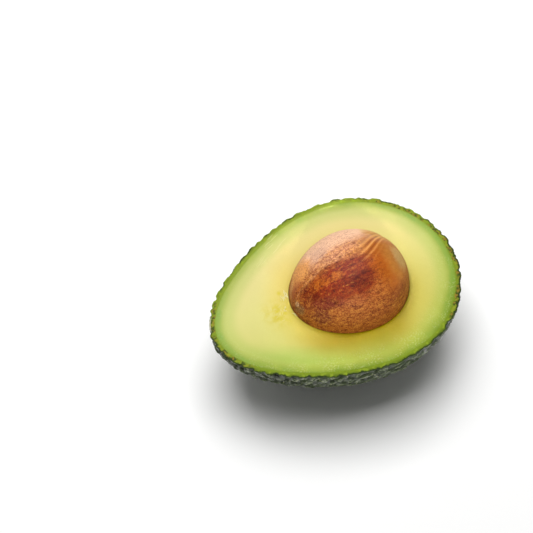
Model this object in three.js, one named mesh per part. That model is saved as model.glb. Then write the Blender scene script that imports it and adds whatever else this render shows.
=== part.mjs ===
// Half of a ripe avocado, cut lengthwise and lying on its back, with its seed in place.
// Millimetres, +Z up. The cut face is level, the stem end points along -X and the broad end along +X.
// Three solids: the pebbled skin, the flesh that fills it, and the seed that sits in the flesh.

import * as THREE from "three";

// Driving dimensions of the fruit
const fruitLength = 99.7; // stem end to broad end, without the pebbles
const fruitWidth = 73; // twice the egg's radius half-way along
const fruitDepthShare = 0.97; // the back is this share of a half width deep
const fruitSwell = [0.22, -0.04, -0.05]; // how the radius grows towards the broad end
const skinThickness = 1.3;
const gap = 0.3; // clearance between one solid and the next

// Driving dimensions of the seed
const seedLength = 47.6;
const seedWidth = 41.6;
const seedSwell = [0.08, -0.02, 0]; // slightly blunter at the broad end
const seedOffset = 6; // the seed's middle, from the fruit's middle, towards the broad end
const seedAside = -0.6; // and towards +Y

// The pebbles that cover the skin
const pebbleCount = 1000; // over the whole fruit, of which this half shows one side
const pebbleHeight = 1.25;
const pebbleHeightSpread = 0.4; // share of the height that varies from pebble to pebble
const pebbleJitter = 0.55; // how far a pebble strays, as a share of the spacing
const furrowWidth = 2.8; // over which a pebble falls to the furrow beside it

// The cork where the stem sat, and the flat spot that the half rests on
const corkRadius = 3.1;
const corkRise = 0.8; // how far it stands out of the smooth form
const corkEdge = 0.9; // over which it falls to the skin
const corkTurn = 16; // degrees from the tip of the stem end towards +Y, along the cut
const flatDepth = 0.6; // how far the back is pressed in where it rests

// How finely each surface is divided: rings from the middle of a bowl to its rim
const skinOuterRings = 40;
const skinInnerRings = 10;
const cavityRings = 9;
const seedRows = 28;
const seedSegments = 44;

const goldenAngle = Math.PI * (3 - Math.sqrt(5));

// A repeatable number between 0 and 1 for a whole number and a channel
function draw(index, channel) {
  const wave = Math.sin(index * 12.9898 + channel * 78.233) * 43758.5453;
  return wave - Math.floor(wave);
}

function smoothstep(low, high, value) {
  const t = THREE.MathUtils.clamp((value - low) / (high - low), 0, 1);
  return t * t * (3 - 2 * t);
}

// An egg-shaped form of revolution about X. A unit direction is carried to a point on its surface.
class Egg {
  constructor(length, width, swell, depthShare = 1) {
    this.halfLength = length / 2;
    this.radius = width / 2;
    this.swell = swell;
    this.depthShare = depthShare;
  }

  // How wide the form is at a station from -1, the stem end, to 1, the broad end
  radiusFactor(station) {
    const [first, second, third] = this.swell;
    return this.radius * (1 + station * (first + station * (second + station * third)));
  }

  point(direction, inset = 0) {
    const across = this.radiusFactor(direction.x) - inset;
    const down = this.radiusFactor(direction.x) * this.depthShare - inset;
    return new THREE.Vector3(
      (this.halfLength - inset) * direction.x,
      across * direction.y,
      down * direction.z,
    );
  }

  normal(direction) {
    const across = this.radiusFactor(direction.x);
    return new THREE.Vector3(
      direction.x / this.halfLength,
      direction.y / across,
      direction.z / (across * this.depthShare),
    ).normalize();
  }

  // The lowest level that the form reaches under its own axis
  depth() {
    let deepest = 0;
    for (let station = -1; station <= 1; station += 0.001) {
      const radius = this.radiusFactor(station) * Math.sqrt(1 - station * station);
      deepest = Math.max(deepest, radius * this.depthShare);
    }
    return deepest;
  }
}

const fruit = new Egg(fruitLength, fruitWidth, fruitSwell, fruitDepthShare);
const seedForm = new Egg(seedLength, seedWidth, seedSwell);
const seedMiddle = new THREE.Vector3(seedOffset, seedAside, 0);
const restHeight = fruit.depth() - flatDepth; // from the flat spot up to the cut face

// The middles of the pebbles: a golden spiral over the whole fruit, each one moved a little aside
function pebbles() {
  const spacing = Math.sqrt((4 * Math.PI) / pebbleCount);
  const stray = pebbleJitter * spacing;
  const found = [];
  for (let i = 0; i < pebbleCount; i += 1) {
    const level = 1 - (2 * (i + 0.5)) / pebbleCount;
    const reach = Math.sqrt(1 - level * level);
    const direction = new THREE.Vector3(
      level + stray * (draw(i, 1) - 0.5),
      reach * Math.cos(i * goldenAngle) + stray * (draw(i, 2) - 0.5),
      reach * Math.sin(i * goldenAngle) + stray * (draw(i, 3) - 0.5),
    ).normalize();
    const height = pebbleHeight * (1 - pebbleHeightSpread * draw(i, 4));
    found.push({ middle: fruit.point(direction), height });
  }
  return found;
}

const skinPebbles = pebbles();
const corkAngle = THREE.MathUtils.degToRad(corkTurn);
const corkMiddle = fruit.point(new THREE.Vector3(-Math.cos(corkAngle), Math.sin(corkAngle), 0));

// How far the skin stands out of the smooth form: pebbles with furrows between, and the cork
function relief(point) {
  let nearest = Infinity;
  let second = Infinity;
  let height = 0;
  for (const pebble of skinPebbles) {
    const distance = point.distanceTo(pebble.middle);
    if (distance < nearest) {
      second = nearest;
      nearest = distance;
      height = pebble.height;
    } else if (distance < second) {
      second = distance;
    }
  }
  const raised = height * smoothstep(0, furrowWidth, second - nearest);
  const fromCork = point.distanceTo(corkMiddle);
  const cork = 1 - smoothstep(corkRadius - corkEdge, corkRadius, fromCork);
  return THREE.MathUtils.lerp(raised, corkRise, cork);
}

// The skin's outside, pressed flat where it rests
function skinPoint(direction) {
  const smooth = fruit.point(direction);
  const point = smooth.clone().addScaledVector(fruit.normal(direction), relief(smooth));
  point.z = Math.max(point.z, -restHeight);
  return point;
}

// A surface under construction: points, and triangles that name them
class Surface {
  constructor() {
    this.points = [];
    this.faces = [];
  }

  add(point) {
    this.points.push(point);
    return this.points.length - 1;
  }

  // A bowl of hexagonal rings under the level z = 0: ring k holds 6k points, so its triangles stay
  // even. Returns the rim's points. An inward bowl has its faces turned to the inside.
  bowl(rings, place, inward = false) {
    const turn = (a, b, c) => this.faces.push(inward ? [a, c, b] : [a, b, c]);
    let inner = [this.add(place(new THREE.Vector3(0, 0, -1)))];
    for (let k = 1; k <= rings; k += 1) {
      const fall = (Math.PI / 2) * (k / rings);
      const outer = [];
      for (let i = 0; i < 6 * k; i += 1) {
        const around = (Math.PI / 3) * (i / k);
        const level = k === rings ? 0 : -Math.cos(fall);
        const direction = new THREE.Vector3(
          Math.sin(fall) * Math.cos(around),
          Math.sin(fall) * Math.sin(around),
          level,
        );
        outer.push(this.add(place(direction)));
      }
      for (let side = 0; side < 6; side += 1) {
        for (let i = 0; i < k; i += 1) {
          const near = outer[side * k + i];
          const next = outer[(side * k + i + 1) % (6 * k)];
          const below = inner[(side * (k - 1) + i) % inner.length];
          turn(near, below, next);
          if (i < k - 1) turn(below, inner[(side * (k - 1) + i + 1) % inner.length], next);
        }
      }
      inner = outer;
    }
    return inner;
  }

  // A level band between two rims that both start at the broad end and turn the same way
  band(outer, inner) {
    let i = 0;
    let j = 0;
    while (i < outer.length || j < inner.length) {
      const a = outer[i % outer.length];
      const b = inner[j % inner.length];
      if ((i + 1) * inner.length <= (j + 1) * outer.length && i < outer.length) {
        this.faces.push([a, outer[(i + 1) % outer.length], b]);
        i += 1;
      } else {
        this.faces.push([a, inner[(j + 1) % inner.length], b]);
        j += 1;
      }
    }
  }

  geometry() {
    const made = new THREE.BufferGeometry().setFromPoints(this.points);
    made.setIndex(this.faces.flat());
    made.computeVertexNormals();
    return made;
  }
}

function skinGeometry() {
  const surface = new Surface();
  const outside = surface.bowl(skinOuterRings, skinPoint);
  const inside = surface.bowl(skinInnerRings, (d) => fruit.point(d, skinThickness), true);
  surface.band(outside, inside);
  return surface.geometry();
}

function fleshGeometry() {
  const surface = new Surface();
  const outside = surface.bowl(skinInnerRings, (d) => fruit.point(d, skinThickness + gap));
  const hollow = (d) => seedForm.point(d, -gap).add(seedMiddle);
  const cavity = surface.bowl(cavityRings, hollow, true);
  surface.band(outside, cavity);
  return surface.geometry();
}

function seedGeometry() {
  const profile = [];
  for (let row = 0; row <= seedRows; row += 1) {
    const along = (Math.PI * row) / seedRows;
    const station = -Math.cos(along);
    const radius = row % seedRows === 0 ? 0 : seedForm.radiusFactor(station) * Math.sin(along);
    profile.push(new THREE.Vector2(radius, seedForm.halfLength * station));
  }
  return new THREE.LatheGeometry(profile, seedSegments).rotateZ(-Math.PI / 2);
}

function piece(name, geometry, color, roughness) {
  const material = new THREE.MeshStandardMaterial({ color, roughness, metalness: 0 });
  const mesh = new THREE.Mesh(geometry, material);
  mesh.name = name;
  return mesh;
}

const skin = piece("skin", skinGeometry(), 0x35402b, 0.55);
const flesh = piece("flesh", fleshGeometry(), 0xd8db86, 0.45);
const seed = piece("seed", seedGeometry(), 0x9b5728, 0.5);
seed.position.copy(seedMiddle);

// The origin is under the middle of the half, on the surface that it lies on
const half = new THREE.Group();
half.add(skin, flesh, seed);
const extent = new THREE.Box3().setFromObject(half, true);
const middle = extent.getCenter(new THREE.Vector3());
half.position.set(-middle.x, -middle.y, restHeight);

export default half;
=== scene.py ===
"""Dresses half of a ripe avocado that lies on its back, cut face up, with its seed in place.

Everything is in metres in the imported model's frame: +Z up out of the cut face, +X towards the broad end.
The forms of the skin, the flesh and the seed are worked out from the same few sizes as the solids, and
each is then given its finer shape and its finish.
"""

import logging
import math
from dataclasses import dataclass, field
from enum import Enum
from typing import Callable, Union

import bpy
import numpy as np
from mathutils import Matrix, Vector, kdtree, noise


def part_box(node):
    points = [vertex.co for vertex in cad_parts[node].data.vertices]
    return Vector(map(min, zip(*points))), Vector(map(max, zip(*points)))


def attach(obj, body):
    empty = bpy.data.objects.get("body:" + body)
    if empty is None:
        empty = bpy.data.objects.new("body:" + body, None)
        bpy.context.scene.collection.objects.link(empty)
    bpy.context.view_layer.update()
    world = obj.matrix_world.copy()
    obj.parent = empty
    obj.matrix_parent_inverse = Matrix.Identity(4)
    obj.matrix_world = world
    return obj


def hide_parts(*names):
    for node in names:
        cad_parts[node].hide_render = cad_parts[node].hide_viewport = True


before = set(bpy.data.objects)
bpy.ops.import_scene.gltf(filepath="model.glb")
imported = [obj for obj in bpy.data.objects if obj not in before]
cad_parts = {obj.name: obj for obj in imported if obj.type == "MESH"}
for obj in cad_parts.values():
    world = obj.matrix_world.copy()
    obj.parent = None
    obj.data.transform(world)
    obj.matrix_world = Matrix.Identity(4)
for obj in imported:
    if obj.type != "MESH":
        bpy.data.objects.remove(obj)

MM = 0.001
BODY = "root"
GOLDEN_ANGLE = math.pi * (3 - math.sqrt(5))
SHARP_ANGLE = 60  # degrees between faces, from which their edge is sharp
CREASE_TURN = 7.5  # degrees round the seed from one crease to the next
CUT_SWELL = 0.13 * MM  # how high the cut face swells
CUT_SWELL_GRAIN = 13 * MM  # how long one such swell is
CUT_ROUGHNESS = 0.025 * MM  # how rough the cut face is
CUT_ROUGHNESS_GRAIN = 2.5 * MM  # how long one such bump is

Array = np.ndarray
Piece = bpy.types.Object
Socket = bpy.types.NodeSocket
Colour = tuple[float, float, float, float]
Paint = Union[Colour, Socket]
Value = Union["Field", float]
Place = Callable[[Array], Array]

log = logging.getLogger("avocado")


def tint(code: str) -> Colour:
    """Turns a colour as seen on a screen into light.

    Args:
        code: six hexadecimal digits, such as "a9cf6b".

    Returns:
        Linear red, green and blue, and full alpha.
    """
    seen = [int(code[i : i + 2], 16) / 255 for i in (0, 2, 4)]
    light = [s / 12.92 if s <= 0.04045 else ((s + 0.055) / 1.055) ** 2.4 for s in seen]
    return (light[0], light[1], light[2], 1)


RIM_GREEN = tint("869a2c")
# Painted shade: the colours of the cut are painted darker and yellower towards -Y
NEAR_SIDE_SHADE = (0.7, 0.75, 0.37, 1)  # multiplies the colours of the cut towards -Y
FAR_SIDE = (0.93, 0.9, 0.92, 1)  # and towards +Y


def draw(index: Array, channel: int) -> Array:
    """Draws a repeatable number between 0 and 1 for each whole number, from the series of a channel."""
    wave = np.sin(index * 12.9898 + channel * 78.233) * 43758.5453
    return wave - np.floor(wave)


def smoothstep(low: float, high: float, value: Array) -> Array:
    """Rises smoothly from 0 to 1 while the value goes from low to high, which may be the lower."""
    t = np.clip((value - low) / (high - low), 0, 1)
    return t * t * (3 - 2 * t)


def turns_round(count: int) -> Array:
    """Returns evenly spaced turns round a circle, in radians."""
    return np.arange(count) * (2 * math.pi / count)


def link(name: str, data: bpy.types.ID) -> Piece:
    """Makes an object of a mesh, a camera or a light, and links it to the scene.

    Args:
        name: the object's name.
        data: what it holds.

    Returns:
        The object.
    """
    made = bpy.data.objects.new(name, data)
    bpy.context.scene.collection.objects.link(made)
    return made


def ripple(points: Array, grain: float, octaves: int, series: int) -> Array:
    """Returns noise from about -1 to 1 at points, with swells of one grain, from one of many series."""
    aside = Vector((17.3, -41.9, 8.1)) * series
    return np.array([noise.fractal(Vector(p) / grain + aside, 1, 2, octaves) for p in points])


@dataclass(frozen=True)
class Egg:
    """An egg-shaped form of revolution about X, which carries unit directions to its surface."""

    middle: Array  # its middle, in the frame
    half_length: float  # from the middle to either end
    radius: float  # half the width, half-way along
    swell: tuple[float, float, float]  # how the radius grows towards the broad end, in three terms
    depth_share: float = 1  # how deep it is, as a share of its half width

    def radius_at(self, station: Array) -> Array:
        """Returns the radius at stations from -1, the stem end, to 1, the broad end."""
        first, second, third = self.swell
        return self.radius * (1 + station * (first + station * (second + station * third)))

    def points(self, directions: Array, inset: float = 0) -> Array:
        """Carries directions to the surface.

        Args:
            directions: unit directions, one a row.
            inset: how far inside the surface the points lie.

        Returns:
            Points in the frame.
        """
        radius = self.radius_at(directions[:, 0])
        along = (self.half_length - inset) * directions[:, 0]
        across = (radius - inset) * directions[:, 1]
        down = (radius * self.depth_share - inset) * directions[:, 2]
        return self.middle + np.column_stack((along, across, down))

    def normals(self, directions: Array) -> Array:
        """Works out the surface's outward directions.

        Args:
            directions: unit directions that meet the surface, one a row.

        Returns:
            The unit directions out of it there.
        """
        radius = self.radius_at(directions[:, 0])
        lengths = np.full(len(directions), self.half_length)
        steep = directions / np.column_stack((lengths, radius, radius * self.depth_share))
        return steep / np.linalg.norm(steep, axis=1, keepdims=True)

    def outline(self, turns: Array, inset: float = 0) -> Array:
        """Returns points of the level outline at turns from the broad end towards +Y."""
        level = np.column_stack((np.cos(turns), np.sin(turns), np.zeros(len(turns))))
        return self.points(level, inset)


@dataclass(frozen=True)
class Fruit:
    """The sizes that the pieces share, as in the solids, and where the fruit lies in the frame."""

    length: float = 99.7 * MM
    width: float = 73 * MM
    depth_share: float = 0.97
    swell: tuple[float, float, float] = (0.22, -0.04, -0.05)
    skin_thickness: float = 1.3 * MM
    seed_length: float = 47.6 * MM
    seed_width: float = 41.6 * MM
    seed_swell: tuple[float, float, float] = (0.08, -0.02, 0)
    seed_offset: float = 6 * MM
    seed_aside: float = -0.6 * MM

    @property
    def seed_middle(self) -> Array:
        """The middle of the seed, which lies in the cut plane."""
        low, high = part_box("seed")
        return np.array((low + high) / 2)

    @property
    def middle(self) -> Array:
        """The middle of the fruit, in the cut plane."""
        return self.seed_middle - np.array((self.seed_offset, self.seed_aside, 0))

    @property
    def form(self) -> Egg:
        """The smooth form of the fruit, without its pebbles."""
        return Egg(self.middle, self.length / 2, self.width / 2, self.swell, self.depth_share)

    @property
    def seed_form(self) -> Egg:
        """The smooth form of the seed."""
        return Egg(self.seed_middle, self.seed_length / 2, self.seed_width / 2, self.seed_swell)


def cut_level(points: Array) -> Array:
    """Returns how far the cut face stands above the cut plane at points: it is never quite even."""
    swells = CUT_SWELL * ripple(points, CUT_SWELL_GRAIN, 2, 7)
    return swells + CUT_ROUGHNESS * ripple(points, CUT_ROUGHNESS_GRAIN, 2, 8)


class Surface:
    """A mesh under construction: blocks of points, and faces that name them."""

    def __init__(self) -> None:
        """Starts with nothing."""
        self.blocks: list[Array] = []
        self.faces: list[tuple[int, ...]] = []
        self.count = 0

    def add(self, points: Array) -> Array:
        """Adds points.

        Args:
            points: places, one a row.

        Returns:
            Their numbers.
        """
        numbers = np.arange(self.count, self.count + len(points))
        self.blocks.append(points)
        self.count += len(points)
        return numbers

    def bowl(self, rings: int, place: Place, inward: bool = False) -> Array:
        """Adds a bowl of hexagonal rings under its rim: ring k holds 6k points, so its faces stay even.

        Args:
            rings: from the middle of the bowl to its rim.
            place: carries unit directions to points.
            inward: whether its faces are turned to the inside.

        Returns:
            The numbers of the rim's points, from the broad end towards +Y.
        """
        numbers = self.add(place(bowl_directions(rings)))
        way = -1 if inward else 1
        inner = numbers[:1]
        start = 1
        for ring in range(1, rings + 1):
            outer = numbers[start : start + 6 * ring]
            start += 6 * ring
            for side in range(6):
                for i in range(ring):
                    near = outer[side * ring + i]
                    after = outer[(side * ring + i + 1) % (6 * ring)]
                    below = inner[(side * (ring - 1) + i) % len(inner)]
                    self.faces.append((near, below, after)[::way])
                    if i < ring - 1:
                        beside = inner[(side * (ring - 1) + i + 1) % len(inner)]
                        self.faces.append((below, beside, after)[::way])
            inner = outer
        return inner

    def band(self, outer: Array, inner: Array) -> None:
        """Joins two closed rings that start side by side and turn the same way, whatever their counts.

        Args:
            outer: the numbers of one ring's points.
            inner: and of the other's.
        """
        i = 0
        j = 0
        while i < len(outer) or j < len(inner):
            a = outer[i % len(outer)]
            b = inner[j % len(inner)]
            if (i + 1) * len(inner) <= (j + 1) * len(outer) and i < len(outer):
                self.faces.append((a, outer[(i + 1) % len(outer)], b))
                i += 1
            else:
                self.faces.append((a, inner[(j + 1) % len(inner)], b))
                j += 1

    def ribbon(self, rings: list[Array]) -> None:
        """Joins rings of equal count with four-sided faces, each to the next one.

        Args:
            rings: the numbers of each ring's points.
        """
        for outer, inner in zip(rings, rings[1:]):
            count = len(outer)
            for i in range(count):
                after = (i + 1) % count
                self.faces.append((outer[i], outer[after], inner[after], inner[i]))

    def mesh(self, name: str) -> Piece:
        """Makes a smooth-shaded object of the surface.

        Args:
            name: the piece's name.

        Returns:
            The object, linked to the scene.
        """
        mesh = bpy.data.meshes.new(name)
        mesh.from_pydata(np.vstack(self.blocks).tolist(), [], [tuple(map(int, f)) for f in self.faces])
        mesh.validate()
        mesh.shade_smooth()
        mesh.set_sharp_from_angle(angle=math.radians(SHARP_ANGLE))
        return link(name, mesh)


def bowl_directions(rings: int) -> Array:
    """Spreads unit directions evenly over a bowl of hexagonal rings.

    Args:
        rings: from straight down to the level rim.

    Returns:
        The directions, one a row.
    """
    found = [np.array([[0, 0, -1]])]
    for ring in range(1, rings + 1):
        fall = math.pi / 2 * ring / rings
        around = turns_round(6 * ring)
        level = 0 if ring == rings else -math.cos(fall)
        across = math.sin(fall) * np.cos(around)
        aside = math.sin(fall) * np.sin(around)
        found.append(np.column_stack((across, aside, np.full(6 * ring, level))))
    return np.vstack(found)


def mark(piece: Piece, name: str, values: Array) -> None:
    """Keeps a number for each point of a piece, for its finish to read."""
    held = piece.data.attributes.new(name, "FLOAT", "POINT")
    held.data.foreach_set("value", values.astype(np.float32))


class Field:
    """A number that varies over a surface. Each operator adds a Math node behind it."""

    def __init__(self, shader: "Shader", socket: Socket) -> None:
        """Wraps a socket of a shader's nodes."""
        self.shader = shader
        self.socket = socket

    def math(self, operation: str, *values: Value) -> "Field":
        """Adds a Math node that does this operation to the values, in order."""
        made = self.shader.node("ShaderNodeMath", {"operation": operation}, dict(enumerate(values)))
        return Field(self.shader, made.outputs[0])

    def __add__(self, other: Value) -> "Field":
        """Adds."""
        return self.math("ADD", self, other)

    def __radd__(self, other: float) -> "Field":
        """Adds to a number."""
        return self.math("ADD", other, self)

    def __sub__(self, other: Value) -> "Field":
        """Subtracts."""
        return self.math("SUBTRACT", self, other)

    def __rsub__(self, other: float) -> "Field":
        """Subtracts from a number."""
        return self.math("SUBTRACT", other, self)

    def __mul__(self, other: Value) -> "Field":
        """Multiplies."""
        return self.math("MULTIPLY", self, other)

    def __rmul__(self, other: float) -> "Field":
        """Multiplies a number."""
        return self.math("MULTIPLY", other, self)

    def __truediv__(self, other: Value) -> "Field":
        """Divides."""
        return self.math("DIVIDE", self, other)

    def __rtruediv__(self, other: float) -> "Field":
        """Divides a number."""
        return self.math("DIVIDE", other, self)

    def __pow__(self, other: Value) -> "Field":
        """Raises to a power."""
        return self.math("POWER", self, other)

    def __abs__(self) -> "Field":
        """Drops the sign."""
        return self.math("ABSOLUTE", self)

    def step(self, low: float, high: float) -> "Field":
        """Rises smoothly from 0 to 1 while the value goes from low to high, which may be the lower."""
        made = self.shader.node(
            "ShaderNodeMapRange",
            {"interpolation_type": "SMOOTHSTEP"},
            {"Value": self, "From Min": low, "From Max": high},
        )
        return Field(self.shader, made.outputs["Result"])

    def bump(self, middle: float, reach: float) -> "Field":
        """Is 1 where the value is in the middle, and falls smoothly to 0 at the reach on either side."""
        return abs(self - middle).step(reach, 0)


class Mixing(Enum):
    """How one colour is laid over another."""

    COVER = "MIX"
    MULTIPLY_OVER = "MULTIPLY"


class Shader:
    """The nodes of one material, with a Principled surface at their end."""

    def __init__(self, name: str) -> None:
        """Starts a material with a bare surface.

        Args:
            name: the material's name.
        """
        self.material = bpy.data.materials.new(name)
        self.material.use_nodes = True
        self.tree = self.material.node_tree
        self.tree.nodes.clear()
        self.surface = self.node("ShaderNodeBsdfPrincipled")
        self.node("ShaderNodeOutputMaterial", inputs={"Surface": self.surface.outputs[0]})

    def node(
        self, kind: str, settings: dict[str, object] | None = None, inputs: dict | None = None
    ) -> bpy.types.Node:
        """Adds a node.

        Args:
            kind: the node's type.
            settings: its settings, such as a Math node's operation, which are set first.
            inputs: values, sockets or fields for its sockets, by name or number.

        Returns:
            The node.
        """
        made = self.tree.nodes.new(kind)
        for name, value in (settings or {}).items():
            setattr(made, name, value)
        for key, value in (inputs or {}).items():
            self.feed(made.inputs[key], value)
        return made

    def feed(self, socket: Socket, value: object) -> None:
        """Feeds a socket.

        Args:
            socket: of one of the nodes.
            value: a field or a socket that is linked to it, or else the value that it is set to.
        """
        if isinstance(value, Field):
            self.tree.links.new(value.socket, socket)
        elif isinstance(value, Socket):
            self.tree.links.new(value, socket)
        else:
            socket.default_value = value

    def set(self, **values: object) -> None:
        """Feeds the surface's sockets, named with underscores for spaces."""
        for name, value in values.items():
            self.feed(self.surface.inputs[name.replace("_", " ")], value)

    def place(self, middle: Array) -> Socket:
        """Reads the place on the surface.

        Args:
            middle: where the place is measured from.

        Returns:
            The place in millimetres.
        """
        here = self.node("ShaderNodeTexCoord").outputs["Object"]
        aside = self.vector("SUBTRACT", here, tuple(middle))
        return self.vector("MULTIPLY", aside, (1 / MM, 1 / MM, 1 / MM))

    def vector(self, operation: str, *values: object) -> Socket:
        """Adds a Vector Math node and returns its vector."""
        made = self.node("ShaderNodeVectorMath", {"operation": operation}, dict(enumerate(values)))
        return made.outputs[0]

    def parts(self, vector: Socket) -> tuple[Field, Field, Field]:
        """Splits a vector into its three fields."""
        split = self.node("ShaderNodeSeparateXYZ", inputs={0: vector})
        return tuple(Field(self, output) for output in split.outputs)

    def drawn_cloud(self, where: Socket, share: float, grain: float, detail: float) -> Field:
        """Returns noise that is drawn out along X, where it changes at only a share of its pace."""
        drawn = self.vector("MULTIPLY", where, (share, 1, 1))
        return self.cloud(drawn, grain, detail, 0.6)

    def marked(self, name: str) -> Field:
        """Reads the number that a piece keeps at its points."""
        return Field(self, self.node("ShaderNodeAttribute", {"attribute_name": name}).outputs["Fac"])

    def cloud(self, where: Socket, grain: float, detail: float = 2, rough: float = 0.5) -> Field:
        """Returns noise from 0 to 1: the size of its swells, then how many finer layers and how strong."""
        made = self.node(
            "ShaderNodeTexNoise",
            inputs={"Vector": where, "Scale": 1 / grain, "Detail": detail, "Roughness": rough},
        )
        return Field(self, made.outputs[0])

    def blend(self, factor: Value, first: Paint, second: Paint, mixing: Mixing = Mixing.COVER) -> Socket:
        """Lays the second colour over the first, none of it at 0 and all of it at 1."""
        settings = {"data_type": "RGBA", "blend_type": mixing.value}
        return self.node("ShaderNodeMix", settings, {0: factor, 6: first, 7: second}).outputs[2]

    def layers(self, colour: Paint, *layers: tuple) -> Paint:
        """Lays colours one over the other.

        Args:
            colour: the lowest.
            layers: each next one's share, its colour, and its mixing if it doesn't cover.

        Returns:
            The colour that they make.
        """
        for factor, over, *mixing in layers:
            colour = self.blend(factor, colour, over, *mixing)
        return colour

    def raise_by(self, height: Field) -> Socket:
        """Returns the normal of a surface raised by a height in millimetres."""
        made = self.node("ShaderNodeBump", inputs={"Height": height, "Distance": MM, "Strength": 1})
        return made.outputs[0]


def rim_depth(shader: Shader, form: Egg) -> Field:
    """Works out how far inside a form's level outline the surface lies.

    Args:
        shader: the nodes to add to.
        form: the form, whose outline is the edge of the cut.

    Returns:
        The distance in millimetres, true near the outline and negative outside it.
    """
    x, y, _ = shader.parts(shader.place(form.middle))
    station = x / (form.half_length / MM)
    first, second, third = form.swell
    radius = form.radius / MM * (1 + station * (first + station * (second + station * third)))
    share = y / radius
    slope = 2 * ((station / (form.half_length / MM)) ** 2 + (share / radius) ** 2) ** 0.5
    return (1 - station * station - share * share) / slope


def paint_side_shade(shader: Shader, across: Field, colour: Paint) -> Socket:
    """Darkens a colour of the cut: painted shade, deeper and greener towards -Y, and a little duller
    towards +Y.
    """
    duller = (across.step(2, 24), FAR_SIDE, Mixing.MULTIPLY_OVER)
    return shader.layers(colour, duller, (across.step(30, -34), NEAR_SIDE_SHADE, Mixing.MULTIPLY_OVER))


@dataclass(frozen=True)
class SkinFinish:
    """Dark green leathery skin, its cut edge and the cork where the stem sat."""

    furrow: Colour = tint("12180b")
    pebble: Colour = tint("434f31")
    # Pale pebble tops: partly wear, partly painted glints
    worn_and_glint: Colour = tint("a3ab8a")
    lenticel: Colour = tint("9a9f6c")
    edge: Colour = tint("2f3d14")
    lime: Colour = tint("6c7d1e")
    rust: Colour = tint("8a6e26")
    bright: Colour = tint("869a20")
    cork: Colour = tint("b9b7a4")

    def material(self, fruit: Fruit) -> bpy.types.Material:
        """Makes the material.

        Args:
            fruit: gives the place of the form.

        Returns:
            The material.
        """
        shader = Shader("skin")
        here = shader.place(fruit.middle)
        along, across, height = shader.parts(here)
        far = across.step(-2, 18)
        raised, depth, cork = (shader.marked(name) for name in ("raised", "cut_depth", "cork"))
        mottle = shader.cloud(here, 7, 3)
        fine = shader.cloud(here, 0.9, 3, 0.6)
        lumps = shader.cloud(here, 2.4, 1)
        grit = shader.cloud(here, 1.4, 2, 0.6)
        leather = shader.layers(
            self.furrow,
            (raised.step(0.1, 0.85), self.pebble),
            # The pale tops of the pebbles are partly wear, partly painted glints
            ((raised * fine).step(0.42, 0.58) * 0.6, self.worn_and_glint),
            (mottle.step(0.45, 0.75) * 0.4, self.furrow),
            (shader.cloud(here, 1.7, 0).step(0.72, 0.78) * 0.6, self.lenticel),
            (height.step(-1.6, -0.1) * far * 0.8, self.bright),
        )
        lime = shader.blend(rim_depth(shader, fruit.form).step(-0.4, 1), self.lime, RIM_GREEN)
        ends = along.step(29, 36) * mottle.step(0.3, 0.5) + along.step(-40, -46)
        spots = shader.blend(grit.step(0.46, 0.58), self.edge, self.rust)
        spots = shader.blend(lumps.step(0.46, 0.58) * 0.7, spots, self.bright)
        edge = shader.blend(far * mottle.step(0.4, 0.5) * 0.85, self.edge, self.bright)
        cut = shader.layers(
            # The cut edge is painted darker towards -Y: painted shade
            paint_side_shade(shader, across, lime),
            (lumps.step(0.5, 0.62) * depth.step(2, 1.2) * 0.8, self.bright),
            (ends * depth.step(2.3, 1.5) * 0.85, spots),
            ((depth + (fine - 0.5) * 1.2).step(0.85, 0.3), edge),
        )
        skin = (depth.step(0.05, 0.2), cut)
        colour = shader.layers(leather, skin, (cork * fine.step(0.2, 0.45), self.cork))
        rough = 0.42 + 0.25 * fine + 0.15 * cork
        relief = 0.16 * fine + 0.05 * shader.cloud(here, 0.3, 2)
        shader.set(Base_Color=colour, Roughness=rough, Normal=shader.raise_by(relief))
        glint = shader.cloud(here, 2, 2, 0.6).step(0.46, 0.6) * depth.step(0.2, 0)
        shader.set(Coat_Weight=glint, Coat_Roughness=0.26, Specular_IOR_Level=0.08)
        return shader.material


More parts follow.
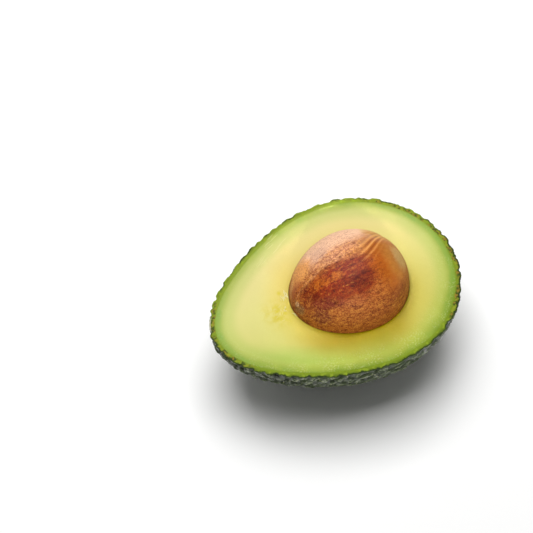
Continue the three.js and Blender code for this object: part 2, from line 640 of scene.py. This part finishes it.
@dataclass
class Skin:
    """The skin: a thin shell with pebbles outside, a rough cut edge, a cork and a flat spot."""

    fruit: Fruit  # the shared sizes
    finish: SkinFinish = field(default_factory=SkinFinish)  # its colours
    pebble_count: int = 1000  # over the whole fruit
    pebble_height: float = 1.25 * MM  # of the highest pebbles
    height_spread: float = 0.4  # the share of the height that varies from pebble to pebble
    jitter: float = 0.55  # how far a pebble strays, as a share of the spacing
    furrow_width: float = 2.8 * MM  # over which a pebble falls to the furrow beside it
    stray: float = 0.55 * MM  # how far the furrows wander from straight lines
    stray_grain: float = 2.6 * MM  # the length of one such swing
    furrow_floor: float = 0.42  # how far the furrows are filled, as a share of a pebble's height
    knobs: float = 0.38  # how much uneven knobs add to the pebbles, as the same share
    knob_grain: float = 2.3 * MM  # the size of one knob
    grain: float = 0.12 * MM  # the height of the fine grain on the pebbles
    grain_size: float = MM  # the size of one grain
    cork_radius: float = 3.1 * MM  # of the patch where the stem sat
    cork_rise: float = 0.8 * MM  # how far the cork stands out
    cork_edge: float = 0.9 * MM  # over which it falls to the skin
    cork_turn: float = 16  # degrees from the tip of the stem end towards +Y
    cork_share: float = 0.2  # how far in it shows on the cut edge, as a share of the way
    rings: int = 130  # of the outside
    lining_rings: int = 20  # of the hidden inside
    # The rings of the cut edge, as shares of the way in from the outside
    edge_shares: tuple[float, ...] = (0.06, 0.14, 0.3, 0.5, 0.75, 1)
    edge_rough: float = 0.16 * MM  # how uneven the cut edge is
    edge_grain: float = 1.3 * MM  # the size of its unevenness
    edge_round: float = 0.15 * MM  # how much lower its outermost line is

    def pebbles(self) -> tuple[Array, Array]:
        """Places the pebbles on a golden spiral over the whole fruit, each one moved a little aside.

        Returns:
            Their middles, one a row, and their heights.
        """
        index = np.arange(self.pebble_count)
        level = 1 - 2 * (index + 0.5) / self.pebble_count
        reach = np.sqrt(1 - level * level)
        turn = index * GOLDEN_ANGLE
        spiral = np.column_stack((level, reach * np.cos(turn), reach * np.sin(turn)))
        stray = self.jitter * math.sqrt(4 * math.pi / self.pebble_count)
        aside = np.column_stack([draw(index, channel) - 0.5 for channel in (1, 2, 3)])
        moved = spiral + stray * aside
        moved /= np.linalg.norm(moved, axis=1, keepdims=True)
        heights = self.pebble_height * (1 - self.height_spread * draw(index, 4))
        return self.fruit.form.points(moved), heights

    def relief(self, smooth: Array) -> tuple[Array, Array, Array]:
        """Works out how far the skin stands out of the smooth form.

        Args:
            smooth: points of the smooth form.

        Returns:
            The heights, how high each point is on its pebble from 0 to 1, and how much of it is cork.
        """
        middles, heights = self.pebbles()
        tree = kdtree.KDTree(len(middles))
        for number, middle in enumerate(middles):
            tree.insert(middle, number)
        tree.balance()
        wander = [ripple(smooth, self.stray_grain, 2, series) for series in (1, 2, 3)]
        probes = smooth + self.stray * np.column_stack(wander)
        found = [tree.find_n(Vector(probe), 2) for probe in probes]
        nearest = np.array([near[2] for near, _ in found])
        second = np.array([after[2] for _, after in found])
        height = heights[[near[1] for near, _ in found]]
        crown = smoothstep(0, self.furrow_width, second - nearest)
        knobs = self.knobs * ripple(smooth, self.knob_grain, 2, 4)
        raised = np.clip(self.furrow_floor + (1 - self.furrow_floor) * crown + knobs, 0, 1)
        turn = math.radians(180 - self.cork_turn)
        cork_middle = self.fruit.form.outline(np.array([turn]))[0]
        from_cork = np.linalg.norm(smooth - cork_middle, axis=1)
        cork = smoothstep(self.cork_radius, self.cork_radius - self.cork_edge, from_cork)
        fine = self.grain * ripple(smooth, self.grain_size, 3, 5)
        proud = raised * height * (1 - cork) + self.cork_rise * cork
        return proud + fine, raised, cork

    def build(self) -> Piece:
        """Builds the shell.

        Returns:
            The piece, with its marks.
        """
        form = self.fruit.form
        thickness = self.fruit.skin_thickness
        directions = bowl_directions(self.rings)
        smooth = form.points(directions)
        height, raised, cork = self.relief(smooth)
        low, high = (np.array(corner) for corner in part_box("skin"))
        proud = smooth + form.normals(directions) * height[:, None]
        proud = np.clip(proud, low, high)

        surface = Surface()
        outer_rim = surface.bowl(self.rings, lambda _: proud)
        rims = [outer_rim]
        outside = proud[outer_rim]
        inside = form.outline(turns_round(len(outer_rim)), thickness)
        depths = [np.zeros(len(proud))]
        for share in self.edge_shares:
            ring = outside + share * (inside - outside)
            ring[:, 2] += self.edge_level(ring, share)
            rims.append(surface.add(ring))
            depths.append(np.linalg.norm(ring - outside, axis=1))
        surface.ribbon(rims)
        lining = surface.bowl(self.lining_rings, lambda d: form.points(d, thickness), inward=True)
        surface.band(rims[-1], lining)
        piece = surface.mesh("skin_shell")

        # The cut edge and the lining count as half raised, and the hidden lining as deep in the cut
        extra = surface.count - len(proud)
        mark(piece, "raised", np.append(raised, np.full(extra, 0.5)))
        seen = np.concatenate(depths)
        hidden = surface.count - len(seen)
        mark(piece, "cut_depth", np.append(seen / MM, np.full(hidden, 2)))
        on_rings = [cork[outer_rim] * (share < self.cork_share) for share in self.edge_shares]
        mark(piece, "cork", np.concatenate((cork, *on_rings, np.zeros(hidden))))
        return piece

    def edge_level(self, ring: Array, share: float) -> Array:
        """Works out how far the cut edge stands above the cut plane: rough, and rounded at the outside.

        Args:
            ring: the points of one of its rings.
            share: how far in the ring is, from 0 at the outside to 1 at the flesh.

        Returns:
            The heights.
        """
        rough = self.edge_rough * ripple(ring, self.edge_grain, 2, 5)
        rounded = self.edge_round * (1 - smoothstep(0, 0.25, np.array([share])))
        return cut_level(ring) + rough * (1 - share) - rounded

    def dress(self, piece: Piece) -> None:
        """Gives a piece its finish and its place in the model.

        Args:
            piece: that this class built.
        """
        piece.data.materials.append(self.finish.material(self.fruit))
        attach(piece, BODY)
        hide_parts("skin")


@dataclass(frozen=True)
class Patch:
    """A soft-edged patch on the cut face."""

    along: float  # millimetres from the fruit's middle towards the broad end
    across: float  # from its middle towards +Y
    length: float  # from the patch's middle to its end
    width: float  # from the patch's middle to its side

    def inside(self, along: Field, across: Field) -> Field:
        """Returns how much of the patch shows at a place, from 0 outside to 1 in its middle."""
        return along.bump(self.along, self.length) * across.bump(self.across, self.width)


@dataclass(frozen=True)
class FleshFinish:
    """Moist flesh, lime at the rim, green inside it, pale further in and yellow by the seed.

    A piece of torn flesh carries the mark "torn", from 0 to 1, which says how pale it is.
    """

    green: Colour = tint("a2b04f")
    lush: Colour = tint("7aa446")
    pale: Colour = tint("c1c674")
    cream: Colour = tint("d7cf88")
    yellow: Colour = tint("d6c162")
    # Deep yellow, also used for the painted shadow of the seed on the flesh
    deep: Colour = tint("b09612")
    bruise: Colour = tint("ccba34")
    # Painted shade: darkens the flesh to olive towards -Y, between the rim and the seed
    olive_painted_shade: Colour = (0.82, 0.95, 0.82, 1)
    torn: Colour = tint("e2dca6")
    torn_patch: Patch = Patch(-23.3, 0.8, 8.5, 8.5)
    small_patch: Patch = Patch(-19.2, 8.5, 1.3, 1.5)

    def material(self, fruit: Fruit) -> bpy.types.Material:
        """Makes the material.

        Args:
            fruit: gives the outlines of the cut and of the seed.

        Returns:
            The material.
        """
        shader = Shader("flesh")
        here = shader.place(fruit.middle)
        along, across, _ = shader.parts(here)
        wander = shader.cloud(here, 9, 2) - 0.5
        near = across.step(6, -26)
        stem = along.step(0, -16)
        shadow = across.step(-8, -21) * along.step(27, 12) * 0.95
        depth = rim_depth(shader, fruit.form) + wander * (1 + 2 * near)
        depth = depth + 0.5 * across.step(4, 20)
        away = rim_depth(shader, fruit.seed_form) * -1 + wander * 1.5

        patchy = shader.cloud(here, 6, 2).step(0.42, 0.66) * 0.3
        ends = 0.5 * along.step(28, 45) + 0.4 * along.step(-34, -46)
        torn = shader.cloud(here, 2.2, 3, 0.6).step(0.36, 0.62)
        # Pale specks painted on as glints of the wet flesh, most towards -Y
        painted_glints = shader.cloud(here, 0.7, 2).step(0.5, 0.64) * shader.cloud(here, 5, 1).step(0.35, 0.6)
        painted_glints = painted_glints * depth.step(13, 4) * depth.step(0.8, 2)
        colour = shader.layers(
            RIM_GREEN,
            (depth.step(1.2, 2.9), self.green),
            (depth.bump(2.8, 2.4) * (patchy + ends), self.lush),
            (depth.step(2.5, 6.8), self.pale),
            (depth.step(6, 13.5), self.cream),
            # Yellow and deep yellow by the seed, strongest towards -Y: partly the flesh's own colour,
            # partly painted shadow of the seed
            (away.step(11, 2) * (0.3 + 0.45 * stem + 0.6 * near), self.yellow),
            (away.step(4.5, 0.3) * (0.2 + 0.45 * near), self.deep),
            (away.step(12, 2) * shadow, self.deep),
            (self.torn_patch.inside(along, across) * torn, self.bruise),
            (self.small_patch.inside(along, across), self.bruise),
        )
        # Painted shade: darker and olive towards -Y, between the rim and the seed
        olive_painted_shade = across.step(-3, -19) * along.step(20, 4) * depth.step(3, 8)
        olive_painted_shade = olive_painted_shade * depth.step(20, 12)
        colour = shader.layers(
            # The flesh is painted darker and yellower towards -Y: painted shade
            paint_side_shade(shader, across, colour),
            (olive_painted_shade, self.olive_painted_shade, Mixing.MULTIPLY_OVER),
            # Painted glints, in the pale colour of torn flesh
            (painted_glints * (0.05 + 0.1 * near), self.torn),
            (shader.marked("torn"), self.torn),
        )

        fine = shader.cloud(here, 0.8, 3, 0.6)
        rough = 0.34 + 0.2 * fine
        grain = shader.cloud(here, 0.5, 2) * (0.04 + 0.08 * depth.step(12, 3) * near)
        shader.set(Base_Color=colour, Roughness=rough, Normal=shader.raise_by(0.05 * fine + grain))
        shader.set(Specular_IOR_Level=0.12)
        return shader.material


@dataclass
class Flesh:
    """The flesh: its cut face is a little uneven, and soft-edged round the seed."""

    fruit: Fruit  # the shared sizes
    finish: FleshFinish = field(default_factory=FleshFinish)  # its colours
    rows: int = 96  # of the cut face, from the rim to the hollow
    segments: int = 720  # round the cut face
    clearance: float = 0.12 * MM  # between the seed and the edge of its hollow
    overlap: float = 0.1 * MM  # how far the flesh reaches under the skin's cut edge
    lip: float = 0.2 * MM  # how far the cut face dips to the edge of the hollow
    hem: float = 0.02 * MM  # and how far to the skin
    back_inset: float = 0.25 * MM  # how much further in the hidden back lies than the rim
    back_rings: int = 30  # of that back
    hollow_rings: int = 24  # of the hollow

    def level(self, points: Array, share: float) -> Array:
        """Works out how far the cut face stands above the cut plane.

        Args:
            points: one ring of the face.
            share: how far in the ring is, from 0 at the rim to 1 at the hollow.

        Returns:
            The heights.
        """
        lip = self.lip * smoothstep(0.95, 1, np.array([share]))
        hem = self.hem * smoothstep(0.02, 0, np.array([share]))
        return cut_level(points) - lip - hem

    def build(self) -> Piece:
        """Builds the flesh.

        Returns:
            The piece.
        """
        form = self.fruit.form
        hollow = self.fruit.seed_form
        inset = self.fruit.skin_thickness - self.overlap
        turns = turns_round(self.segments)
        outside = form.outline(turns, inset)
        inside = hollow.outline(turns, -self.clearance)
        surface = Surface()
        rings = []
        for row in range(self.rows + 1):
            share = row / self.rows
            ring = outside + share * (inside - outside)
            ring[:, 2] += self.level(ring, share)
            rings.append(surface.add(ring))
        surface.ribbon(rings)
        back = surface.bowl(self.back_rings, lambda d: form.points(d, inset + self.back_inset))
        surface.band(back, rings[0])
        cavity = surface.bowl(self.hollow_rings, lambda d: hollow.points(d, -self.clearance), True)
        surface.band(rings[-1], cavity)
        return surface.mesh("flesh_half")

    def dress(self, piece: Piece) -> None:
        """Gives a piece its finish and its place in the model.

        Args:
            piece: that this class built.
        """
        piece.data.materials.append(self.finish.material(self.fruit))
        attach(piece, BODY)
        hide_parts("flesh")


@dataclass(frozen=True)
class CurlGroup:
    """A few curls of one kind that the knife left close together. Lengths are in millimetres."""

    along: float  # of the group's middle, from the fruit's, towards the broad end
    across: float  # of its middle, towards +Y
    reach: float  # how far the curls lie from the middle
    count: int  # how many there are
    length: float  # of one curl
    width: float  # of one curl
    heading: float  # how they lie, in degrees from +X towards +Y
    scatter: float  # how far a heading strays either way, in degrees
    bend: float  # how much a curl turns along its length, in degrees
    lift: float  # how high its free end stands
    paleness: float  # how much paler than the flesh it is, from 0 to 1


@dataclass
class Curls:
    """Curls and shreds of torn flesh that lie on the cut face."""

    fruit: Fruit  # the shared sizes
    finish: FleshFinish = field(default_factory=FleshFinish)  # the flesh's
    groups: tuple[CurlGroup, ...] = (  # where they lie
        CurlGroup(-23.3, 0.8, 3.4, 14, 1.6, 0.4, 60, 90, 60, 0, 0.3),
        CurlGroup(-18, 5.8, 1.9, 12, 1.7, 0.35, 75, 40, 60, 0.4, 0.85),
        CurlGroup(-20.3, 1, 0.9, 3, 1.2, 0.6, 20, 60, 60, 0.3, 0.6),
        CurlGroup(-17.2, -3, 1.2, 4, 1.8, 0.4, 110, 40, 50, 0.3, 0.6),
        CurlGroup(-12.4, 28.6, 3.4, 8, 5, 0.22, 24, 6, 8, 0, 0.45),
        CurlGroup(-22, 24.5, 3, 5, 4, 0.2, 30, 8, 6, 0, 0.4),
        CurlGroup(26.5, 4, 0.8, 2, 0.9, 0.5, 0, 60, 40, 0, 0.7),
    )
    joints: int = 14  # along one curl
    sides: int = 10  # round one curl
    flatness: float = 0.4  # its thickness, as a share of its width
    sink: float = 0.35  # how deep a curl sits in the face, as a share of its thickness

    def curl(self, surface: Surface, group: CurlGroup, chance: Array) -> None:
        """Adds one closed curl, thick in its middle and pointed at both ends.

        Args:
            surface: to add to.
            group: what it belongs to.
            chance: five numbers between 0 and 1, which make it differ from the others.
        """
        turn = 2 * math.pi * chance[0]
        aside = group.reach * math.sqrt(chance[1]) * np.array((math.cos(turn), math.sin(turn)))
        start = (np.array((group.along, group.across)) + aside) * MM
        length = group.length * MM * (0.6 + 0.6 * chance[2])
        width = group.width * MM * (0.7 + 0.6 * chance[3])
        heading = math.radians(group.heading + group.scatter * (2 * chance[4] - 1))
        sense = 1 if chance[3] > 0.5 else -1
        share = np.linspace(0, 1, self.joints)
        headings = heading + sense * math.radians(group.bend) * (share - 0.5)
        steps = np.column_stack((np.cos(headings), np.sin(headings)))
        path = start + length / (self.joints - 1) * np.cumsum(steps, axis=0)
        half_width = width / 2 * np.sin(math.pi * np.clip(share, 0.02, 0.98)) ** 0.6
        half_depth = half_width * self.flatness
        rise = group.lift * MM * share**2 + half_depth * (1 - 2 * self.sink)
        middles = self.fruit.middle + np.column_stack((path, rise))
        middles[:, 2] += cut_level(middles)
        around = turns_round(self.sides)
        rings = []
        for middle, way, wide, deep in zip(middles, headings, half_width, half_depth):
            sideways = np.array((-math.sin(way), math.cos(way), 0))
            ring = middle + wide * np.cos(around)[:, None] * sideways
            ring[:, 2] += deep * np.sin(around)
            rings.append(surface.add(ring))
        surface.ribbon(rings)
        surface.faces.append(tuple(rings[0]))
        surface.faces.append(tuple(rings[-1][::-1]))

    def build(self) -> Piece:
        """Builds the curls as one piece.

        Returns:
            The piece, with its mark.
        """
        surface = Surface()
        torn = []
        for group in self.groups:
            for _ in range(group.count):
                number = np.array(len(torn) + 1)
                chance = np.array([draw(number, channel) for channel in range(11, 16)])
                self.curl(surface, group, chance)
                torn.append(np.full(self.joints * self.sides, group.paleness))
        piece = surface.mesh("flesh_curls")
        mark(piece, "torn", np.concatenate(torn))
        return piece

    def dress(self, piece: Piece) -> None:
        """Gives a piece its finish and its place in the model.

        Args:
            piece: that this class built.
        """
        piece.data.materials.append(self.finish.material(self.fruit))
        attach(piece, BODY)


def ridge_turn(station: "Field | Array") -> "Field | Array":
    """Returns the turn, in degrees from the top, of the ridge along the seed: aside at the broad end."""
    return 7 + 14 * (abs(station) + station) ** 2


@dataclass(frozen=True)
class CoatPatch:
    """A patch of colour on the seed's coat, round in its own measures: mostly stains, and on top partly
    painted sheen.
    """

    station: float  # of its middle, from -1 at the stem end to 1 at the broad end
    turn: float  # of its middle, in degrees from the top towards +Y
    length: float  # from its middle to its end, in stations
    width: float  # from its middle to its side, in degrees
    colour: str  # as six hexadecimal digits
    strength: float = 0.9  # how much of the colour shows in its middle
    ragged: float = 1  # how torn its edge is

    def inside(self, station: Field, turn: Field, edge: Field) -> Field:
        """Returns how much of the patch shows at a place, where noise tears its edge."""
        away = ((station - self.station) / self.length) ** 2 + ((turn - self.turn) / self.width) ** 2
        return (away**0.5 + edge * (0.45 * self.ragged)).step(1.15, 0.45) * self.strength


@dataclass(frozen=True)
class SeedFinish:
    """The seed's thin brown coat: stained, speckled, and smooth towards the broad end."""

    brown: Colour = tint("b06628")
    shade: Colour = (0.42, 0.26, 0.24, 1)
    grit: Colour = (0.46, 0.27, 0.31, 1)
    gold: Colour = tint("cf8f35")
    # Painted highlight on the crests of the creases
    crest: Colour = tint("dda255")
    ridge: Colour = tint("d39c60")
    band: CoatPatch = CoatPatch(-0.25, -18, 0.8, 30, "8f2f06", 1, 1)
    coat_patches: tuple[CoatPatch, ...] = (
        # The two pale peach patches on the upper side are partly the coat's own tan, partly painted sheen
        CoatPatch(0, 41, 1.2, 35, "e4b894", 1, 0.6),
        CoatPatch(-0.38, 28, 0.2, 12, "d1a78a", 0.8, 0.8),
        CoatPatch(-0.74, 36, 0.26, 30, "d8964a", 0.9),
        CoatPatch(-0.98, 20, 0.1, 40, "a25528", 0.85),
        CoatPatch(0.7, 32, 0.3, 22, "c08a3a", 0.9, 0.7),
        CoatPatch(-0.05, 12, 0.7, 10, "dba070", 0.85, 1.2),
        CoatPatch(0.2, 3, 0.4, 7, "c98a4c", 0.8, 0.9),
        CoatPatch(0.1, -14, 0.32, 16, "8c3406", 0.85, 1.4),
        CoatPatch(-0.05, -26, 0.3, 10, "701c02", 0.9, 1.6),
        CoatPatch(-0.72, -6, 0.2, 8, "8e3206", 0.8, 1.6),
        CoatPatch(-0.88, 12, 0.1, 9, "cc7418", 0.8, 1.8),
        CoatPatch(-0.82, 3, 0.1, 7, "7c2a14", 0.75, 1.8),
        CoatPatch(-0.9, 27, 0.06, 7, "8c3c22", 0.6, 1.8),
        CoatPatch(-0.92, 22, 0.16, 24, "a2502a", 0.65, 1.2),
        CoatPatch(-0.58, -9, 0.17, 8, "b8640e", 0.9, 1.8),
        CoatPatch(-0.34, -11, 0.15, 6, "b0600f", 0.8, 1.8),
        CoatPatch(-0.68, -38, 0.26, 14, "7a2e1c", 0.85, 1.6),
        CoatPatch(0.46, -15, 0.3, 44, "a4540a", 0.9, 0.8),
        CoatPatch(0.66, -20, 0.22, 34, "b27228", 0.9, 0.6),
        CoatPatch(0.8, -18, 0.14, 26, "c09a58", 0.85, 0.6),
        CoatPatch(-0.74, -60, 0.14, 18, "7c3c26", 0.7, 1),
        CoatPatch(0.5, -60, 0.3, 12, "8c4616", 0.55, 1),
        CoatPatch(-0.955, -38, 0.05, 24, "8c6a48", 0.75),
        CoatPatch(-0.955, -10, 0.025, 12, "eacb98", 0.9, 0.8),
    )

    def material(self, fruit: Fruit) -> bpy.types.Material:
        """Makes the material.

        Args:
            fruit: gives the form of the seed.

        Returns:
            The material.
        """
        shader = Shader("seed")
        form = fruit.seed_form
        here = shader.place(form.middle)
        x, y, z = shader.parts(here)
        station = x / (form.half_length / MM)
        turn = y.math("ARCTAN2", y, z) * (180 / math.pi)

        blotch = shader.drawn_cloud(here, 0.38, 2.6, 3)
        streak = shader.drawn_cloud(here, 0.38, 1, 2)
        lines = shader.drawn_cloud(here, 0.16, 0.75, 2)
        fine = shader.cloud(here, 0.45, 2, 0.7)
        clot = shader.cloud(here, 1.3, 2, 0.6)
        edge = (blotch - 0.5) * 2.4 + (streak - 0.5) * 1

        band = self.band.inside(station, turn, edge)
        coat_patches = [(coat_patch.inside(station, turn, edge), tint(coat_patch.colour)) for coat_patch in self.coat_patches]
        colour = shader.layers(self.brown, (band, tint(self.band.colour)), *coat_patches)

        smooth = station.step(0.15, 0.5) * turn.step(-80, -35)
        rough = 1 - 0.85 * smooth
        pale = turn.step(12, 30)
        fold = ridge_turn(station) - turn
        ridge = (fold + (blotch - 0.5) * 7).bump(-0.5, 3.5) * station.step(0.7, 0.2)
        wave = fold * (2 * math.pi / CREASE_TURN) + (blotch - 0.5) * 2
        crease = wave.math("SINE", wave)
        folded = station.step(0, 0.35) * station.step(0.92, 0.6) * fold.bump(8, 20)
        rough = rough * (1 - 0.6 * folded)
        colour = shader.layers(
            colour,
            (ridge * 0.6, self.ridge),
            # Crests of the creases painted lighter and their troughs darker: painted highlight and painted
            # shade along the folds
            (crease.step(0.1, 0.9) * folded * 0.75, self.crest),
            (crease.step(-0.2, -0.95) * folded * 0.6, self.shade, Mixing.MULTIPLY_OVER),
        )

        upper = turn.step(-38, -20) * (1 - pale) * rough
        threads = lines.step(0.42, 0.3) * upper * station.step(0.1, -0.35)
        gold = rough * (1 - 0.85 * band)
        colour = shader.layers(
            colour,
            (lines.step(0.5, 0.6) * upper * 0.5, self.shade, Mixing.MULTIPLY_OVER),
            (threads * 0.65, self.gold),
            (streak.step(0.5, 0.62) * rough * (0.6 - 0.45 * pale), self.shade, Mixing.MULTIPLY_OVER),
            (streak.step(0.44, 0.34) * gold * (0.55 - 0.45 * pale), self.gold),
            (clot.step(0.54, 0.66) * rough * (0.65 - 0.4 * pale), self.grit, Mixing.MULTIPLY_OVER),
            (fine.step(0.48, 0.6) * rough * (0.8 - 0.2 * pale), self.grit, Mixing.MULTIPLY_OVER),
            (fine.step(0.43, 0.33) * gold * (0.55 - 0.4 * pale), self.gold),
        )

        height = 0.07 * streak + 0.06 * fine
        shader.set(Base_Color=colour, Roughness=0.45 + 0.15 * streak, Normal=shader.raise_by(height))
        shader.set(Specular_IOR_Level=0.2)
        return shader.material


@dataclass
class Seed:
    """The seed, whole, with its lower half in the hollow."""

    fruit: Fruit  # the shared sizes
    finish: SeedFinish = field(default_factory=SeedFinish)  # its colours
    rows: int = 180  # from end to end
    segments: int = 420  # round its axis
    swell_depth: float = 0.1 * MM  # how deep its coat dips in broad swells
    groove_depth: float = 0.1 * MM  # in the fine grooves along it
    fold_depth: float = 0.22 * MM  # beside the ridge
    crease_depth: float = 0.16 * MM  # in the creases by the broad end

    def build(self) -> Piece:
        """Builds the seed.

        Returns:
            The piece.
        """
        form = self.fruit.seed_form
        turns = turns_round(self.segments)
        across = np.column_stack((np.sin(turns), np.cos(turns)))
        surface = Surface()
        rings = []
        ends = []
        for row in range(self.rows + 1):
            along = math.pi * row / self.rows
            station = -math.cos(along)
            ring = np.column_stack((np.full(self.segments, station), math.sin(along) * across))
            if row in (0, self.rows):
                ends.append(surface.add(self.settle(form, ring[:1])))
            else:
                rings.append(surface.add(self.settle(form, ring)))
        surface.ribbon(rings)
        for i in range(self.segments):
            after = (i + 1) % self.segments
            surface.faces.append((ends[0][0], rings[0][after], rings[0][i]))
            surface.faces.append((ends[1][0], rings[-1][i], rings[-1][after]))
        return surface.mesh("seed_whole")

    def settle(self, form: Egg, directions: Array) -> Array:
        """Carries directions to the seed's surface, which dips below the smooth form.

        Args:
            form: the smooth form.
            directions: unit directions, one a row.

        Returns:
            Points of the surface.
        """
        smooth = form.points(directions)
        swells = 0.5 + 0.5 * ripple(smooth, 11 * MM, 2, 9)
        stations = directions[:, 0]
        turns = np.degrees(np.arctan2(directions[:, 1], directions[:, 2]))
        drawn = (smooth - form.middle) * np.array((0.4, 1, 1))
        grooves = 0.5 + 0.5 * ripple(drawn, 1.6 * MM, 2, 10)
        below = ridge_turn(stations) - turns
        fold = smoothstep(-4, 1, below) * smoothstep(22, 3, below)
        fold *= smoothstep(-1, -0.7, stations) * smoothstep(1, 0.75, stations)
        wander = 1.5 * ripple(drawn, 2.6 * MM, 2, 11)
        creases = 0.5 - 0.5 * np.sin(below * (2 * math.pi / CREASE_TURN) + wander)
        creases *= smoothstep(20, 0, abs(below - 8))
        creases *= smoothstep(0, 0.35, stations) * smoothstep(0.92, 0.6, stations)
        dip = self.swell_depth * swells + self.groove_depth * grooves
        dip += self.fold_depth * fold + self.crease_depth * creases
        return smooth - form.normals(directions) * dip[:, None]

    def dress(self, piece: Piece) -> None:
        """Gives a piece its finish and its place in the model.

        Args:
            piece: that this class built.
        """
        piece.data.materials.append(self.finish.material(self.fruit))
        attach(piece, BODY)
        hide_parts("seed")


@dataclass(frozen=True)
class Softbox:
    """A square light that shines on the seed."""

    name: str  # the light's name
    # Where it stands in the camera's view: to the right, and away from the camera
    towards: tuple[float, float]
    rise: float  # its height above the horizon, in degrees
    distance: float  # from the seed
    size: float  # of its side
    power: float  # in watts
    spread: float = 180  # the angle of its beam, in degrees


@dataclass
class Studio:
    """A pale floor, soft lights and the camera."""

    fruit: Fruit  # the shared sizes
    azimuth: float = -27.3  # the camera's turn round the fruit, in degrees
    elevation: float = 58  # its height above the horizon, in degrees
    distance: float = 485 * MM  # from the camera to what it looks at
    # What it looks at, from the middle of the cut face
    aim: tuple[float, float, float] = (-17.8 * MM, 21.4 * MM, 0)
    lens: float = 85  # focal length in millimetres
    sensor: float = 36  # the width of the camera's sensor, in millimetres
    lights: tuple[Softbox, ...] = (  # the soft lights
        Softbox("overhead", (-0.4, 1), 76, 0.62, 0.48, 5.1),
        Softbox("back", (-0.3, 1), 14, 0.9, 0.6, 0.9),
        Softbox("front", (0.1, -1), 35, 0.5, 0.05, 0.0045, 4),
    )
    glow: float = 0.17  # how strongly the white surroundings shine
    floor_reach: float = 4  # from the middle of the floor to its edge
    floor_sides: int = 64  # how many sides the floor has

    def build(self) -> None:
        """Builds the floor, the camera, the surroundings and the lights."""
        self.floor()
        self.camera()
        self.world()
        for box in self.lights:
            self.softbox(box)

    def floor(self) -> None:
        """Lays the floor under the fruit."""
        surface = Surface()
        turns = turns_round(self.floor_sides)
        rim = np.column_stack((np.cos(turns), np.sin(turns), np.zeros(self.floor_sides)))
        surface.faces.append(tuple(surface.add(rim * self.floor_reach)))
        piece = surface.mesh("floor")
        shader = Shader("floor")
        grain = shader.cloud(shader.place(np.zeros(3)), 40, 2)
        shader.set(Base_Color=(0.93, 0.93, 0.925, 1), Roughness=0.7 + 0.1 * grain)
        piece.data.materials.append(shader.material)

    def hang(self, data: bpy.types.ID, middle: Array, back: Vector, distance: float) -> Piece:
        """Adds a camera or a light that looks at a point.

        Args:
            data: the camera or the light.
            middle: the point.
            back: the direction from the point to it.
            distance: and how far away it is.

        Returns:
            The object.
        """
        made = link(data.name, data)
        made.location = Vector(middle) + back * distance
        made.rotation_mode = "QUATERNION"
        made.rotation_quaternion = (-back).to_track_quat("-Z", "Y")
        return made

    def camera(self) -> None:
        """Places the camera at the photograph's viewing angle."""
        data = bpy.data.cameras.new("camera")
        data.lens = self.lens
        data.sensor_width = self.sensor
        data.clip_start = 0.01
        data.clip_end = 20
        middle = self.fruit.middle + np.array(self.aim)
        back = self.direction((0, -1), self.elevation)
        bpy.context.scene.camera = self.hang(data, middle, back, self.distance)

    def world(self) -> None:
        """Surrounds the scene with white, and shows colours as they are."""
        world = bpy.data.worlds.new("studio")
        world.use_nodes = True
        background = world.node_tree.nodes["Background"]
        background.inputs["Color"].default_value = (1, 1, 1, 1)
        background.inputs["Strength"].default_value = self.glow
        bpy.context.scene.world = world
        bpy.context.scene.view_settings.view_transform = "Standard"

    def direction(self, towards: tuple[float, float], rise: float) -> Vector:
        """Works out a direction from the fruit.

        Args:
            towards: where it points in the camera's view: to the right, and away from the camera.
            rise: its height above the horizon, in degrees.

        Returns:
            The unit direction.
        """
        turn = math.radians(self.azimuth)
        right = Vector((math.cos(turn), math.sin(turn), 0))
        ahead = Vector((-math.sin(turn), math.cos(turn), 0))
        level = (right * towards[0] + ahead * towards[1]).normalized()
        return level * math.cos(math.radians(rise)) + Vector((0, 0, math.sin(math.radians(rise))))

    def softbox(self, box: Softbox) -> None:
        """Hangs a soft light.

        Args:
            box: its sizes and its place.
        """
        data = bpy.data.lights.new(box.name, "AREA")
        data.shape = "SQUARE"
        data.size = box.size
        data.energy = box.power
        data.spread = math.radians(box.spread)
        self.hang(data, self.fruit.seed_middle, self.direction(box.towards, box.rise), box.distance)


def main() -> None:
    """Builds and dresses the pieces in order, then the studio round them."""
    logging.basicConfig(level=logging.INFO, format="%(name)s: %(message)s")
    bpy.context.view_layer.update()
    fruit = Fruit()
    for part in (Skin(fruit), Flesh(fruit), Curls(fruit), Seed(fruit)):
        piece = part.build()
        part.dress(piece)
        log.info("%s: %d faces", piece.name, len(piece.data.polygons))
    Studio(fruit).build()


if __name__ == "__main__":
    main()
